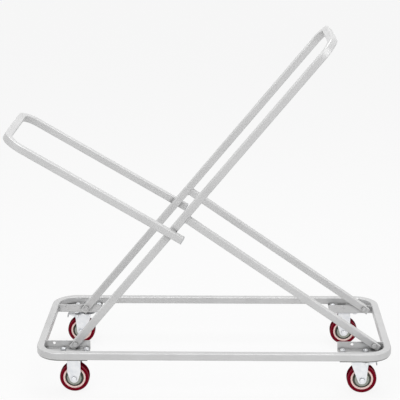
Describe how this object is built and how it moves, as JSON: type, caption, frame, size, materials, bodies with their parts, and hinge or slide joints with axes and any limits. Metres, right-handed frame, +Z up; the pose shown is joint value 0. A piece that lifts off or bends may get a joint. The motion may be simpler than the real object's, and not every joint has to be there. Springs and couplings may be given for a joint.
{
  "type": "stacking chair trolley",
  "caption": "Chair stacking trolley: bent square tube base ring on fixed and swivel casters, carrying two crossed U frames that cradle a tilted stack of chairs.",
  "frame": {"origin": "on the floor, under the middle of the trolley's overall length and width", "axes": "+X along the base ring towards the feet of the braces, +Y across it to the rear, +Z up"},
  "size_m": [1.1442, 0.51, 1.0566],
  "materials": {
    "painted_steel": "silver grey powder coat",
    "zinc_plate": "bright zinc plate",
    "bare_steel": "oiled",
    "polyurethane_tyre": "satin cast polyurethane",
    "nylon_core": "satin",
    "guard_plastic": "matt",
    "plug_plastic": "matt"
  },
  "bodies": {
    "frame": {"base_ring": "painted_steel", "seat_frame": "painted_steel", "back_frame": "painted_steel", "rail_plugs": "plug_plastic", "brace_front": "painted_steel", "brace_rear": "painted_steel", "foot_bolts": "painted_steel", "foot_nuts": "painted_steel", "caster_bolts": "zinc_plate", "caster_washers": "zinc_plate", "caster_nuts": "zinc_plate", "bracket_front_left": "painted_steel", "bracket_front_right": "painted_steel", "bracket_rear_left": "painted_steel", "bracket_rear_right": "painted_steel", "plate_front_left": "zinc_plate", "plate_front_right": "zinc_plate", "plate_rear_left": "zinc_plate", "plate_rear_right": "zinc_plate", "kingpin_front_right": "bare_steel", "kingpin_rear_left": "bare_steel", "fork_front_left": "zinc_plate", "sleeve_front_left": "bare_steel", "axle_front_left": "zinc_plate", "axle_nut_front_left": "zinc_plate", "fork_rear_right": "zinc_plate", "sleeve_rear_right": "bare_steel", "axle_rear_right": "zinc_plate", "axle_nut_rear_right": "zinc_plate"},
    "wheel_front_left": {"tyre_front_left": "polyurethane_tyre", "core_front_left": "nylon_core", "guards_front_left": "guard_plastic", "bearings_front_left": "bare_steel"},
    "swivel_front_right": {"fork_front_right": "zinc_plate", "sleeve_front_right": "bare_steel", "axle_front_right": "zinc_plate", "axle_nut_front_right": "zinc_plate", "balls_front_right": "bare_steel", "brake_pin_front_right": "zinc_plate"},
    "brake_front_right": {"brake_front_right": "zinc_plate"},
    "wheel_front_right": {"tyre_front_right": "polyurethane_tyre", "core_front_right": "nylon_core", "guards_front_right": "guard_plastic", "bearings_front_right": "bare_steel"},
    "swivel_rear_left": {"fork_rear_left": "zinc_plate", "sleeve_rear_left": "bare_steel", "axle_rear_left": "zinc_plate", "axle_nut_rear_left": "zinc_plate", "balls_rear_left": "bare_steel", "brake_pin_rear_left": "zinc_plate"},
    "brake_rear_left": {"brake_rear_left": "zinc_plate"},
    "wheel_rear_left": {"tyre_rear_left": "polyurethane_tyre", "core_rear_left": "nylon_core", "guards_rear_left": "guard_plastic", "bearings_rear_left": "bare_steel"},
    "wheel_rear_right": {"tyre_rear_right": "polyurethane_tyre", "core_rear_right": "nylon_core", "guards_rear_right": "guard_plastic", "bearings_rear_right": "bare_steel"}
  },
  "joints": [
    {"name": "wheel_front_left", "type": "hinge", "parent": "frame", "child": "wheel_front_left", "pos_m": [-0.37486, -0.195, 0.0445], "axis": [0, 1, 0], "continuous": true},
    {"name": "swivel_front_right", "type": "hinge", "parent": "frame", "child": "swivel_front_right", "pos_m": [0.46314, -0.195, 0.116], "axis": [0, 0, 1], "continuous": true},
    {"name": "brake_front_right", "type": "hinge", "parent": "swivel_front_right", "child": "brake_front_right", "pos_m": [0.49714, -0.195, 0.0965], "axis": [0, 1, 0], "range_deg": [0, 20]},
    {"name": "wheel_front_right", "type": "hinge", "parent": "swivel_front_right", "child": "wheel_front_right", "pos_m": [0.48514, -0.195, 0.0445], "axis": [0, 1, 0], "continuous": true},
    {"name": "swivel_rear_left", "type": "hinge", "parent": "frame", "child": "swivel_rear_left", "pos_m": [-0.37486, 0.195, 0.116], "axis": [0, 0, 1], "continuous": true},
    {"name": "brake_rear_left", "type": "hinge", "parent": "swivel_rear_left", "child": "brake_rear_left", "pos_m": [-0.40886, 0.195, 0.0965], "axis": [0, -1, 0], "range_deg": [0, 20]},
    {"name": "wheel_rear_left", "type": "hinge", "parent": "swivel_rear_left", "child": "wheel_rear_left", "pos_m": [-0.39686, 0.195, 0.0445], "axis": [0, 1, 0], "continuous": true},
    {"name": "wheel_rear_right", "type": "hinge", "parent": "frame", "child": "wheel_rear_right", "pos_m": [0.46314, 0.195, 0.0445], "axis": [0, 1, 0], "continuous": true}
  ]
}
